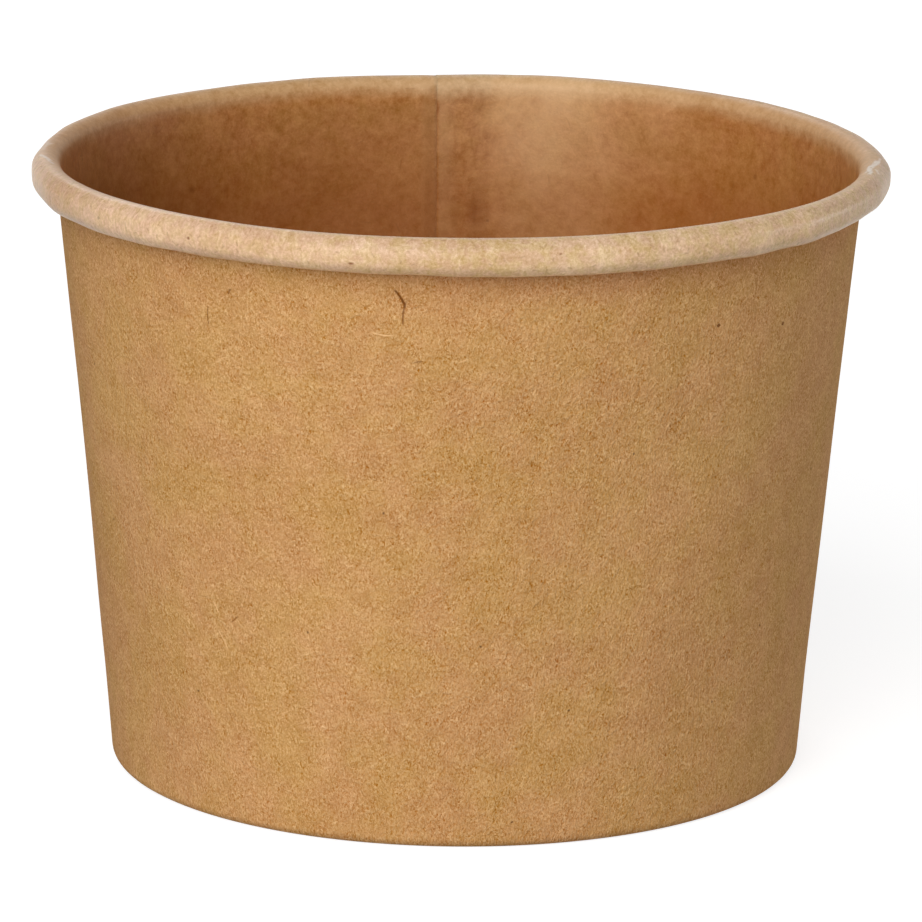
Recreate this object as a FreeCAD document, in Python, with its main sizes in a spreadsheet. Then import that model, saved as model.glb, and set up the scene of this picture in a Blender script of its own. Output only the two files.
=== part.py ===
import FreeCAD, Part
import math
import os

import Sketcher
from FreeCAD import Placement, Rotation, Vector

# Paper soup cup, built from two boards, in millimetres and degrees.
#
# side_wall    one blank wrapped to a cone and lapped at the back, its top edge rolled outward
#              into the rim bead, its bottom edge turned in and up as a hem
# bottom_disc  a disc whose skirt hangs between the wall and the hem
#
# +Z is up, the origin is the centre of the ring the cup stands on, and the lap is at the back (+Y).
# Azimuths are measured from +X toward +Y.

SIZES = [
    ("rim_radius", 45.0, "outside radius of the rolled rim"),
    ("cup_height", 65.4, "resting ring to the top of the rim"),
    ("foot_radius", 37.02, "inside radius of the wall where the foot begins"),
    ("foot_height", 10.1, "height where the wall bends into the foot"),
    ("foot_lean", 4.6, "lean of the foot from upright"),
    ("wall_board", 0.45, "thickness of the wall's board"),
    ("bead_height", 3.87, "height of the rolled rim"),
    ("under_radius", 1.25, "outside radius under the rim"),
    ("under_flat", 0.15, "flat under the rim"),
    ("tail_radius", 1.0, "outside radius where the roll turns up beside the wall"),
    ("roll_gap", 0.125, "gap between the roll and the lapped wall beside it"),
    ("tip_angle", 30.0, "direction of the roll's last straight, up from level"),
    ("tip_length", 0.3, "length of the roll's last straight"),
    ("heel_radius", 0.75, "inside radius at the heel"),
    ("land_width", 0.25, "flat of the resting ring"),
    ("fold_radius", 0.15, "inside radius where the hem turns up"),
    ("toe_lean", 32.0, "lean of the hem's toe from upright"),
    ("hem_bend", 0.9, "radius where the toe meets the flat of the hem"),
    ("hem_gap", 0.7, "gap between the hem's raw edge and the bottom above it"),
    ("lap_start", 85.5, "azimuth of the outer ply's free edge"),
    ("lap_angle", 8.2, "width of the lap"),
    ("lap_rise", 0.245, "what the second ply adds after pressing"),
    ("ramp_angle", 2.1, "width over which the outer ply climbs onto the inner"),
    ("disc_board", 0.4, "thickness of the bottom's board"),
    ("disc_height", 7.9, "height of the underside of the bottom"),
    ("disc_corner", 0.9, "outside radius where the bottom turns into its skirt"),
    ("skirt_end", 2.3, "height of the skirt's raw edge"),
    ("seal_gap", 0.025, "gap on each side of the skirt"),
]


class Size(float):
    """A number of the sheet, or a sum of them, that keeps the expression it stands for."""

    def __new__(cls, number, text):
        size = super().__new__(cls, number)
        size.text = text
        return size

    def __add__(self, other):
        return Size(float(self) + other, f"{self.text} + {getattr(other, 'text', other)}")

    def __sub__(self, other):
        return Size(float(self) - other, f"{self.text} - ({getattr(other, 'text', other)})")


def heading(angle):
    """Unit direction at an angle up from level, outward being zero."""
    return Vector(math.cos(math.radians(angle)), math.sin(math.radians(angle)), 0)


def right_of(angle):
    """Unit direction to the right of a heading."""
    return heading(angle - 90)


def line(start, end):
    return {"start": start, "end": end}


def bend(centre, radius, enter, leave):
    """An arc entered and left at two headings; a falling heading turns to the right."""
    return {"centre": centre, "radius": radius, "enter": enter, "leave": leave}


def sized(piece):
    """Whether a piece is an arc whose radius the sheet sets."""
    return isinstance(piece.get("radius"), Size)


def ends(piece):
    """Where a piece of a path begins and ends."""
    if "start" in piece:
        return piece["start"], piece["end"]
    side = 1 if piece["leave"] > piece["enter"] else -1
    reach = side * piece["radius"]
    return tuple(piece["centre"] + right_of(piece[at]) * reach for at in ("enter", "leave"))


def meeting(point, angle, other, other_angle):
    """Where two lines, each given by a point and a heading, cross."""
    along, across = heading(angle), heading(other_angle)
    apart = other - point
    turn = along.x * across.y - along.y * across.x
    return point + along * ((apart.x * across.y - apart.y * across.x) / turn)


def add_sheet(doc):
    """The sheet of driving sizes, and the same sizes for the script."""
    sheet = doc.addObject("Spreadsheet::Sheet", "sizes")
    sizes = {}
    for row, (alias, number, meaning) in enumerate(SIZES, 1):
        sheet.set(f"A{row}", meaning)
        sheet.set(f"B{row}", str(number))
        sheet.setAlias(f"B{row}", alias)
        sizes[alias] = Size(number, f"sizes.{alias}")
    doc.recompute()
    return sizes


def roll_clearance(s):
    """From the middle of the roll's tail to the coated face of the wall beside it."""
    return s["tail_radius"] + s["roll_gap"] + s["wall_board"] + s["lap_rise"]


def hem_edge(s):
    """Height of the hem's raw edge, under the bottom."""
    return s["disc_height"] - s["hem_gap"]


def wall_path(s, thickness):
    """The coated face of the wall's board, from the hem's raw edge to the tip of the roll.

    The face is raised by the thickness under it, so that the resting ring is at zero.
    """
    knee = Vector(s["foot_radius"], s["foot_height"], 0)
    under = Vector(
        s["rim_radius"] - s["under_radius"],
        s["cup_height"] - s["bead_height"] + s["under_radius"],
        0,
    )
    tail = under + Vector(-s["under_flat"], s["tail_radius"] - s["under_radius"], 0)
    tip = tail - right_of(s["tip_angle"]) * s["tail_radius"]
    reach = tail - knee
    wall = math.degrees(math.atan2(reach.y, reach.x) + math.asin(roll_clearance(s) / reach.Length))
    foot = 90 - s["foot_lean"]

    # the crown touches the wall's line, the rim's upright side and the level of the rim's top
    out = right_of(wall)
    above = Vector(s["rim_radius"], s["cup_height"], 0) - knee
    crown_radius = out.dot(above) / (1 + out.x + out.y)
    crown = knee + above - Vector(crown_radius, crown_radius, 0)

    level = thickness + s["heel_radius"]
    run = (knee.y - level - right_of(foot).y * s["heel_radius"]) / heading(foot).y
    heel = knee - heading(foot) * run - right_of(foot) * s["heel_radius"]
    fold = Vector(heel.x - s["land_width"], thickness + s["fold_radius"], 0)
    toe = -90 - s["toe_lean"]
    toe_foot = fold + right_of(toe) * s["fold_radius"]
    on_hem = knee - right_of(foot) * (s["disc_board"] + 2 * s["seal_gap"])
    hem_top = on_hem + heading(foot) * ((hem_edge(s) - on_hem.y) / heading(foot).y)
    corner = meeting(hem_top, foot, toe_foot, toe)
    tangent = s["hem_bend"] * math.tan(math.radians((s["toe_lean"] - s["foot_lean"]) / 2))
    hem_foot = corner + heading(foot) * tangent
    hem_bend = hem_foot + right_of(foot - 180) * s["hem_bend"]

    path = {
        "hem": line(hem_top, hem_foot),
        "hem_bend": bend(hem_bend, s["hem_bend"], foot - 180, toe),
        "toe": None,
        "fold": bend(fold, s["fold_radius"], toe, 0),
        "land": None,
        "heel": bend(heel, s["heel_radius"], 0, foot),
        "foot": None,
        "wall": None,
        "crown": bend(crown, crown_radius, wall, -90),
        "side": None,
        "under": bend(under, s["under_radius"], -90, -180),
        "flat": None,
        "tail": bend(tail, s["tail_radius"], 180, s["tip_angle"]),
        "tip": line(tip, tip + heading(s["tip_angle"]) * s["tip_length"]),
    }
    path["toe"] = line(ends(path["hem_bend"])[1], ends(path["fold"])[0])
    path["land"] = line(ends(path["fold"])[1], ends(path["heel"])[0])
    path["foot"] = line(ends(path["heel"])[1], knee)
    path["wall"] = line(knee, ends(path["crown"])[0])
    path["side"] = line(ends(path["crown"])[1], ends(path["under"])[0])
    path["flat"] = line(ends(path["under"])[1], ends(path["tail"])[0])
    return path


def disc_path(s):
    """The coated face of the bottom's board, from the axis to the skirt's raw edge."""
    skirt = 90 - s["foot_lean"]
    beside = Vector(s["foot_radius"], s["foot_height"], 0) - right_of(skirt) * s["seal_gap"]
    top = s["disc_height"] + s["disc_board"]
    on_corner = beside - right_of(skirt) * s["disc_corner"]
    level = top - s["disc_corner"]
    corner = on_corner + heading(skirt) * ((level - on_corner.y) / heading(skirt).y)
    path = {
        "top": line(Vector(0, top, 0), corner + Vector(0, s["disc_corner"], 0)),
        "corner": bend(corner, s["disc_corner"], 0, skirt - 180),
        "skirt": None,
    }
    hang = ends(path["corner"])[1]
    drop = heading(skirt) * ((s["skirt_end"] - hang.y) / heading(skirt).y)
    path["skirt"] = line(hang, hang + drop)
    return path


class Section:
    """A board's section in the upright half-plane at an azimuth, and the faces drawn in it."""

    def __init__(self, body, name, azimuth=None):
        self.sketch = body.newObject("Sketcher::SketchObject", name)
        plane = next(f for f in body.Origin.OriginFeatures if f.Role == "XZ_Plane")
        self.sketch.AttachmentSupport = [(plane, "")]
        self.sketch.MapMode = "FlatFace"
        if azimuth is not None:
            self.sketch.AttachmentOffset = Placement(Vector(), Rotation(Vector(0, 1, 0), azimuth))
            self.sketch.setExpression("AttachmentOffset.Rotation.Angle", azimuth.text)

    def tie(self, kind, *where):
        return self.sketch.addConstraint(Sketcher.Constraint(kind, *where))

    def size(self, name, kind, *where):
        """A dimension held to its sheet expression; the last of `where` is the Size."""
        size = where[-1]
        number = math.radians(size) if kind == "Angle" else float(size)
        self.sketch.renameConstraint(self.tie(kind, *where[:-1], number), name)
        self.sketch.setExpression(f"Constraints.{name}", size.text)

    def face(self, path, offset=0.0, hidden=False):
        """Draw a path moved to its right by an offset: each piece's index, first and last point."""
        drawn = {}
        for name, piece in path.items():
            if "start" in piece:
                along = piece["end"] - piece["start"]
                move = Vector(along.y, -along.x, 0).normalize() * offset
                shape = Part.LineSegment(piece["start"] + move, piece["end"] + move)
                first, last = 1, 2
            else:
                left = piece["leave"] > piece["enter"]
                radius = piece["radius"] + (offset if left else -offset)
                angles = [math.radians(piece[at] + (-90 if left else 90)) for at in ("enter", "leave")]
                circle = Part.Circle(piece["centre"], Vector(0, 0, 1), radius)
                shape = Part.ArcOfCircle(circle, *(angles if left else reversed(angles)))
                first, last = (1, 2) if left else (2, 1)
            drawn[name] = (self.sketch.addGeometry(shape, hidden), first, last)
        names = list(path)
        for name, following in zip(names, names[1:]):
            straight = "start" in path[name] and "start" in path[following]
            index, _, last = drawn[name]
            other, first, _ = drawn[following]
            self.tie("Coincident" if straight else "Tangent", index, last, other, first)
        return drawn

    def follow(self, path, drawn, other, offset, label):
        """Hold a second face parallel to the first, at an offset to its right."""
        names = list(path)
        for name, piece in path.items():
            index, mate = drawn[name][0], other[name][0]
            if "centre" in piece:
                self.tie("Coincident", index, 3, mate, 3)
                if sized(piece):
                    left = piece["leave"] > piece["enter"]
                    radius = piece["radius"] + offset if left else piece["radius"] - offset
                    self.size(f"{name}_{label}", "Radius", mate, radius)
            elif name in (names[0], names[-1]) or self.beside_unsized(path, name):
                self.tie("Parallel", index, mate)

    @staticmethod
    def beside_unsized(path, name):
        """Whether a straight piece meets anything but an arc of a set radius."""
        names = list(path)
        at = names.index(name)
        near = names[max(at - 1, 0):at] + names[at + 1:at + 2]
        return any(not sized(path[other]) for other in near)

    def close(self, path, near, far, through=None):
        """Square off both raw edges, in line with the ends of the face they run through."""
        for name, end in ((list(path)[0], 1), (list(path)[-1], 2)):
            points = [self.sketch.getPoint(face[name][0], face[name][end]) for face in (near, far)]
            edge = self.sketch.addGeometry(Part.LineSegment(*points), False)
            self.tie("Coincident", near[name][0], near[name][end], edge, 1)
            self.tie("Coincident", far[name][0], far[name][end], edge, 2)
            self.tie("Perpendicular", near[name][0], edge)
            if through:
                self.tie("PointOnObject", through[name][0], through[name][end], edge)


def wall_section(body, name, s, azimuth, near, far):
    """A section of the wall's board between two offsets from its coated face."""
    section = Section(body, name, azimuth)
    path = wall_path(s, far)
    face = section.face(path, hidden=near > 0)

    section.size("rim_radius", "DistanceX", -1, 1, face["side"][0], 1, s["rim_radius"])
    top = section.sketch.addGeometry(Part.Point(Vector(path["crown"]["centre"].x, s["cup_height"], 0)), True)
    section.tie("PointOnObject", top, 1, face["crown"][0])
    section.tie("Vertical", top, 1, face["crown"][0], 3)
    section.size("cup_height", "DistanceY", -1, 1, top, 1, s["cup_height"])
    section.size("roll_gap", "Distance", face["tail"][0], 3, face["wall"][0], roll_clearance(s))
    section.size("under_level", "DistanceY", -1, 1, face["flat"][0], 1,
                 s["cup_height"] - s["bead_height"])
    section.size("foot_radius", "DistanceX", -1, 1, face["wall"][0], 1, s["foot_radius"])
    section.size("foot_height", "DistanceY", -1, 1, face["wall"][0], 1, s["foot_height"])
    section.size("land_level", "DistanceY", -1, 1, face["land"][0], 1, far)
    section.size("hem_edge", "DistanceY", -1, 1, face["hem"][0], 1, hem_edge(s))
    section.size("hem_space", "Distance", face["hem"][0], 1, face["foot"][0],
                 s["disc_board"] + s["seal_gap"] + s["seal_gap"])
    section.size("foot_lean", "Angle", face["foot"][0], Size(90, "90") - s["foot_lean"])
    section.size("toe_lean", "Angle", face["toe"][0], Size(-90, "-90") - s["toe_lean"])
    section.size("tip_angle", "Angle", face["tip"][0], s["tip_angle"])
    section.size("land_width", "Distance", face["land"][0], s["land_width"])
    section.size("under_flat", "Distance", face["flat"][0], s["under_flat"])
    section.size("tip_length", "Distance", face["tip"][0], s["tip_length"])
    for level in ("land", "flat"):
        section.tie("Horizontal", face[level][0])
    section.tie("Vertical", face["side"][0])
    section.tie("Parallel", face["hem"][0], face["foot"][0])
    for name, piece in path.items():
        if sized(piece):
            section.size(name, "Radius", face[name][0], piece["radius"])

    inner = face
    if near > 0:
        inner = section.face(path, near)
        section.follow(path, face, inner, near, "near")
    outer = section.face(path, far)
    section.follow(path, face, outer, far, "far")
    section.close(path, inner, outer, face if near > 0 else None)
    return section.sketch


def disc_section(body, s):
    """The section of the bottom's board, from the axis out."""
    section = Section(body, "disc_section")
    path = disc_path(s)
    face = section.face(path)
    under = section.face(path, s["disc_board"])
    knee = section.sketch.addGeometry(Part.Point(Vector(s["foot_radius"], s["foot_height"], 0)), True)

    section.size("foot_radius", "DistanceX", -1, 1, knee, 1, s["foot_radius"])
    section.size("foot_height", "DistanceY", -1, 1, knee, 1, s["foot_height"])
    section.size("seal_gap", "Distance", knee, 1, face["skirt"][0], s["seal_gap"])
    section.size("skirt_lean", "Angle", face["skirt"][0], Size(-90, "-90") - s["foot_lean"])
    section.size("skirt_end", "DistanceY", -1, 1, face["skirt"][0], 2, s["skirt_end"])
    section.size("top_level", "DistanceY", -1, 1, face["top"][0], 1,
                 s["disc_height"] + s["disc_board"])
    section.size("corner", "Radius", face["corner"][0], s["disc_corner"])
    section.tie("Horizontal", face["top"][0])
    section.tie("PointOnObject", face["top"][0], 1, -2)
    section.follow(path, face, under, s["disc_board"], "under")
    section.close(path, face, under)
    return section.sketch


def revolve(body, name, sketch, angle):
    """Turn a section about the axis, toward rising azimuth."""
    turned = body.newObject("PartDesign::Revolution", name)
    turned.Profile = sketch
    turned.ReferenceAxis = (sketch, ["V_Axis"])
    turned.Angle = float(angle)
    turned.setExpression("Angle", angle.text)
    return turned


def add_body(doc, name):
    body = doc.addObject("PartDesign::Body", name)
    body.Label = name
    body.Placement = Placement()
    return body


def add_side_wall(doc, s):
    """The wrapped blank: one ply most of the way round, two pressed together in the lap."""
    body = add_body(doc, "side_wall")
    ply = s["wall_board"]
    both = ply + s["lap_rise"]
    lap_end = s["lap_start"] + s["lap_angle"]
    ramp_end = lap_end + s["ramp_angle"]

    none = Size(0, "0")
    single = wall_section(body, "single_section", s, ramp_end, none, ply)
    lapped = wall_section(body, "lap_section", s, s["lap_start"], none, both)
    climbed = wall_section(body, "climbed_section", s, lap_end, s["lap_rise"], both)
    doc.recompute()

    revolve(body, "single_ply", single, Size(360, "360") - (s["lap_angle"] + s["ramp_angle"]))
    revolve(body, "lap", lapped, s["lap_angle"])
    ramp = body.newObject("PartDesign::AdditiveLoft", "ramp")
    ramp.Profile = climbed
    ramp.Sections = [(single, [""])]
    ramp.Ruled = True
    body.Tip = ramp
    return body


def add_bottom_disc(doc, s):
    """The bottom board, crimped down round its edge into a skirt."""
    body = add_body(doc, "bottom_disc")
    sketch = disc_section(body, s)
    doc.recompute()
    body.Tip = revolve(body, "disc", sketch, Size(360, "360"))
    return body


def check(doc, bodies):
    for item in doc.Objects:
        if "Invalid" in item.State or "Error" in item.State:
            raise RuntimeError(f"{item.Name} is {item.State}")
    for body in bodies:
        shape = body.Shape
        if shape.isNull() or not shape.isValid() or len(shape.Solids) != 1:
            raise RuntimeError(f"{body.Label} is not one valid solid")


doc = FreeCAD.newDocument("paper_soup_cup")
sizes = add_sheet(doc)
bodies = [add_side_wall(doc, sizes), add_bottom_disc(doc, sizes)]
doc.recompute()
check(doc, bodies)
os.makedirs("parts", exist_ok=True)
for body in bodies:
    body.Shape.exportStep(f"parts/{body.Label}.step")
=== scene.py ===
"""Looks of the paper soup cup: its two boards as modelled sheets, their materials, light and camera."""

import math

import bmesh
import bpy
import numpy as np
from mathutils import Matrix, Vector


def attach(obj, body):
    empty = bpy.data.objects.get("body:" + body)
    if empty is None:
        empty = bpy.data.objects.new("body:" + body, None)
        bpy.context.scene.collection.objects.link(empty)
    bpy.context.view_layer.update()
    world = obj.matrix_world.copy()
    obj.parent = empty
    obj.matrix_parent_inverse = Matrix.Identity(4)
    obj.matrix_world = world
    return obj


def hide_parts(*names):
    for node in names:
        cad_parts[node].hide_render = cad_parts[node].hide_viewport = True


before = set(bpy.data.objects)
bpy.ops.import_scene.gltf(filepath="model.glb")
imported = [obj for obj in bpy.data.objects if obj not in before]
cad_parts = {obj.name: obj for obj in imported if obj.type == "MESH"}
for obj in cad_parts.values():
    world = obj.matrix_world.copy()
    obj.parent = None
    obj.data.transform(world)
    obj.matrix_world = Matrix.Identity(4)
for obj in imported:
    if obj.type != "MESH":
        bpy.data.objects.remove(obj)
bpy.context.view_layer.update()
MM = 0.001

# The boards, in millimetres and degrees, as in the CAD.
RIM_RADIUS, CUP_HEIGHT = 45.0, 65.4
FOOT_RADIUS, FOOT_HEIGHT, FOOT_LEAN = 37.02, 10.1, 4.6
WALL_BOARD, LAP_RISE = 0.45, 0.245
BEAD_HEIGHT, UNDER_RADIUS, UNDER_FLAT = 3.87, 1.25, 0.15
TAIL_RADIUS, ROLL_GAP, TIP_ANGLE, TIP_LENGTH = 1.0, 0.125, 30.0, 0.3
HEEL_RADIUS, LAND_WIDTH, FOLD_RADIUS = 0.75, 0.25, 0.15
TOE_LEAN, HEM_BEND, HEM_GAP = 32.0, 0.9, 0.7
LAP_START, LAP_ANGLE, RAMP_ANGLE = 85.5, 8.2, 2.1
DISC_BOARD, DISC_HEIGHT, DISC_CORNER = 0.4, 7.9, 0.9
SKIRT_END, SEAL_GAP = 2.3, 0.025
HEM_EDGE = DISC_HEIGHT - HEM_GAP

BLANK_RADIUS = 40.0  # turns an azimuth into a distance across the flat blank
# set the outer face's map, the raw edges' and the bottom's clear of the coated face's
OUTER_MAP, EDGE_MAP, PLY_MAPS, SKIRT_MAP, DISC_MAPS = 200.0, 400.0, (420.0, 440.0), 460.0, (600.0, 800.0)
KNURLS, KNURL_DEPTH = 120, 0.06
LAP_PRESSED = 0.8  # how much of the recess beside the inner ply the roll presses out
COLUMN_STEP = 0.5  # degrees between the wall's columns of points
SHARP_ANGLE = 42.0

# the bake map: how much of its height each face of the wall takes, and a raw edge's strip
FACE_SHARE, STRIP = 0.47, 0.004

# how finely each part of the section is divided, seen from either side of the board
SEEN_INSIDE = dict(hem=1, hem_bend=3, toe=1, fold=5, land=1, heel=4, foot=5, wall=14, crown=16, side=3,
                   under=8, flat=1, tail=6, tip=1)
SEEN_OUTSIDE = dict(hem=7, hem_bend=4, toe=2, fold=7, land=1, heel=7, foot=4, wall=14, crown=6, side=1,
                    under=4, flat=1, tail=4, tip=1)


# ---------------------------------------------------------------- sections

def heading(angle):
    """Unit direction at an angle up from level; angles may be an array."""
    turn = np.radians(angle)
    return np.stack([np.cos(turn), np.sin(turn)], -1)


def right_of(angle):
    return heading(np.asarray(angle) - 90.0)


def crossing(point, angle, other, other_angle):
    along, across = heading(angle), heading(other_angle)
    apart = other - point
    turn = along[0] * across[1] - along[1] * across[0]
    return point + along * ((apart[0] * across[1] - apart[1] * across[0]) / turn)


def bend(centre, radius, enter, leave, steps):
    """Points and right-hand normals round an arc entered and left at two headings."""
    angles = np.linspace(enter, leave, steps + 1)
    side = 1.0 if leave > enter else -1.0
    return np.asarray(centre) + side * radius * right_of(angles), right_of(angles)


def chain(pieces, ends, steps):
    """Joins arcs, and straight runs marked None, into one path of points and normals."""
    points, normals = [], []
    arcs = [None if piece is None else bend(*piece, steps[name]) for name, piece in pieces.items()]
    for at, (name, arc) in enumerate(zip(pieces, arcs)):
        if arc is None:
            start = ends.get(name, (None, None))[0]
            start = arcs[at - 1][0][-1] if start is None else np.asarray(start)
            stop = ends.get(name, (None, None))[1]
            stop = arcs[at + 1][0][0] if stop is None else np.asarray(stop)
            share = np.linspace(0, 1, steps[name] + 1)[:, None]
            along = (stop - start) / np.linalg.norm(stop - start)
            arc = start + share * (stop - start), np.tile([along[1], -along[0]], (len(share), 1))
        skip = 1 if points else 0
        points.append(arc[0][skip:])
        normals.append(arc[1][skip:])
    return np.concatenate(points), np.concatenate(normals)


def wall_section(thickness, steps):
    """The coated face of the wall's board, from the hem's raw edge to the tip of the roll."""
    knee = np.array([FOOT_RADIUS, FOOT_HEIGHT])
    under = np.array([RIM_RADIUS - UNDER_RADIUS, CUP_HEIGHT - BEAD_HEIGHT + UNDER_RADIUS])
    tail = under + np.array([-UNDER_FLAT, TAIL_RADIUS - UNDER_RADIUS])
    tip = tail - right_of(TIP_ANGLE) * TAIL_RADIUS
    clearance = TAIL_RADIUS + ROLL_GAP + WALL_BOARD + LAP_RISE
    reach = tail - knee
    wall = math.degrees(math.atan2(reach[1], reach[0]) + math.asin(clearance / np.hypot(*reach)))
    above = np.array([RIM_RADIUS, CUP_HEIGHT]) - knee
    crown_radius = right_of(wall) @ above / (1 + right_of(wall).sum())
    crown = np.array([RIM_RADIUS, CUP_HEIGHT]) - crown_radius
    foot = 90 - FOOT_LEAN
    run = (knee[1] - thickness - HEEL_RADIUS - right_of(foot)[1] * HEEL_RADIUS) / heading(foot)[1]
    heel = knee - heading(foot) * run - right_of(foot) * HEEL_RADIUS
    fold = np.array([heel[0] - LAND_WIDTH, thickness + FOLD_RADIUS])
    toe = -90 - TOE_LEAN
    on_hem = knee - right_of(foot) * (DISC_BOARD + 2 * SEAL_GAP)
    hem_top = on_hem + heading(foot) * ((HEM_EDGE - on_hem[1]) / heading(foot)[1])
    corner = crossing(hem_top, foot, fold + right_of(toe) * FOLD_RADIUS, toe)
    tangent = HEM_BEND * math.tan(math.radians((TOE_LEAN - FOOT_LEAN) / 2))
    hem_bend = corner + heading(foot) * tangent + right_of(foot - 180) * HEM_BEND
    pieces = {
        "hem": None,
        "hem_bend": (hem_bend, HEM_BEND, foot - 180, toe),
        "toe": None,
        "fold": (fold, FOLD_RADIUS, toe, 0),
        "land": None,
        "heel": (heel, HEEL_RADIUS, 0, foot),
        "foot": None,
        "wall": None,
        "crown": (crown, crown_radius, wall, -90),
        "side": None,
        "under": (under, UNDER_RADIUS, -90, -180),
        "flat": None,
        "tail": (tail, TAIL_RADIUS, 180, TIP_ANGLE),
        "tip": None,
    }
    ends = {
        "hem": (hem_top, None),
        "foot": (None, knee),
        "wall": (knee, None),
        "tip": (None, tip + heading(TIP_ANGLE) * TIP_LENGTH),
    }
    return chain(pieces, ends, steps)


def disc_section(steps):
    """The coated face of the bottom's board, from the axis to the skirt's raw edge."""
    skirt = 90 - FOOT_LEAN
    beside = np.array([FOOT_RADIUS, FOOT_HEIGHT]) - right_of(skirt) * SEAL_GAP
    level = DISC_HEIGHT + DISC_BOARD - DISC_CORNER
    on_corner = beside - right_of(skirt) * DISC_CORNER
    corner = on_corner + heading(skirt) * ((level - on_corner[1]) / heading(skirt)[1])
    hang = corner + right_of(skirt) * DISC_CORNER
    pieces = {"top": None, "corner": (corner, DISC_CORNER, 0, skirt - 180), "skirt": None}
    ends = {
        "top": ([0.0, DISC_HEIGHT + DISC_BOARD], None),
        "skirt": (None, hang + heading(skirt) * ((SKIRT_END - hang[1]) / heading(skirt)[1])),
    }
    return chain(pieces, ends, steps)


# ---------------------------------------------------------------- what makes a real cup uneven

rng = np.random.default_rng(17)


def waves(count, low, high, tall=0.0):
    """A smooth random field of azimuth and height, about one in size."""
    turns = rng.integers(low, high + 1, count)
    phase = rng.uniform(0, 2 * np.pi, count)
    slope = rng.uniform(-tall, tall, count)

    def field(azimuth, height):
        angle = np.radians(azimuth)
        waves_of = [np.sin(n * angle + k * height + p) for n, k, p in zip(turns, slope, phase)]
        return sum(waves_of) / math.sqrt(count / 2)

    return field


def smooth(low, high, value):
    share = np.clip((value - low) / (high - low), 0, 1)
    return share * share * (3 - 2 * share)


def near(azimuth, centre, width):
    """A soft bump of one at an azimuth."""
    off = (np.asarray(azimuth) - centre + 180) % 360 - 180
    return np.exp(-((off / width) ** 2))


# what lies off the drawn shape, in millimetres, and the heights between which each comes in or fades out
OUT_OF_ROUND, COCKLE, NECK, RIM_WAVE = 0.05, 0.045, 0.13, 0.025
COCKLE_IN, COCKLE_OUT = (3, 20), (52, 61)
NECK_IN, NECK_OUT = (38, 52), (60.3, 62.3)
RIM_WAVE_FROM = 40
LAP_DIPS = [(98, 7, -0.1), (78, 10, 0.1)]  # the rim beside the lap: azimuth, width in degrees, rise
ROLL_ROUNDING = 0.09  # taken off the roll's side at a millimetre above or below its middle
ROLL_REACH = 3.75  # how far in from the rim the roll lies
CREASE_FROM, CREASE_TO, CREASE_MIDDLE = 0.2, 1.7, 0.3
# and as shares of the roll's size
ROLL_SWELL, ROLL_TILT = 0.012, 0.02
TOP_SPARED, TOP_FROM = 0.75, (-1.2, 1.2)  # how much less its upper half is flattened, and from where up

# the roll's swellings and dents, and where it is flatter: azimuth, width in degrees, millimetres or share
BULGES = [(357, 9, 0.22), (15, 9, 0.24), (159, 11, -0.36), (170.5, 4.5, -0.28), (176.6, 3, -0.3),
          (198, 8, 0.04), (334, 9, -0.22), (349.3, 3.2, -0.2)]
FLATTER = [(250, 18, -0.07), (334, 12, -0.12)]
# short creases across the roll, where the board was gathered: azimuth, width in degrees, depth
CREASES = [(290.4, 0.7, 0.07), (292.6, 0.9, -0.04), (286.2, 0.6, 0.04), (288.3, 0.6, -0.03),
           (296.3, 0.7, 0.04), (299.1, 0.6, 0.03), (304.4, 0.7, 0.04), (308.2, 0.6, -0.03),
           (247.5, 0.8, 0.05), (228.0, 0.9, 0.05), (312.0, 0.9, 0.06), (204.0, 1.0, 0.06),
           (340.5, 1.1, 0.06), (12.0, 1.0, 0.07), (51.0, 1.2, 0.05), (131.0, 1.2, 0.05)]

cockle = waves(14, 5, 17, 0.25)
long_wave = waves(4, 2, 4)
bead_swell = waves(12, 9, 41)
bead_tilt = waves(8, 3, 12)
rim_level = waves(6, 3, 9)
BEAD_WIDTH = 3.1
BEAD_CENTRE = np.array([RIM_RADIUS - BEAD_WIDTH / 2, CUP_HEIGHT - BEAD_HEIGHT / 2])


def bumps(azimuth, places):
    """The sum of soft bumps, each an azimuth, a width in degrees and a height."""
    return sum(height * near(azimuth, at, width) for at, width, height in places)


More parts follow.
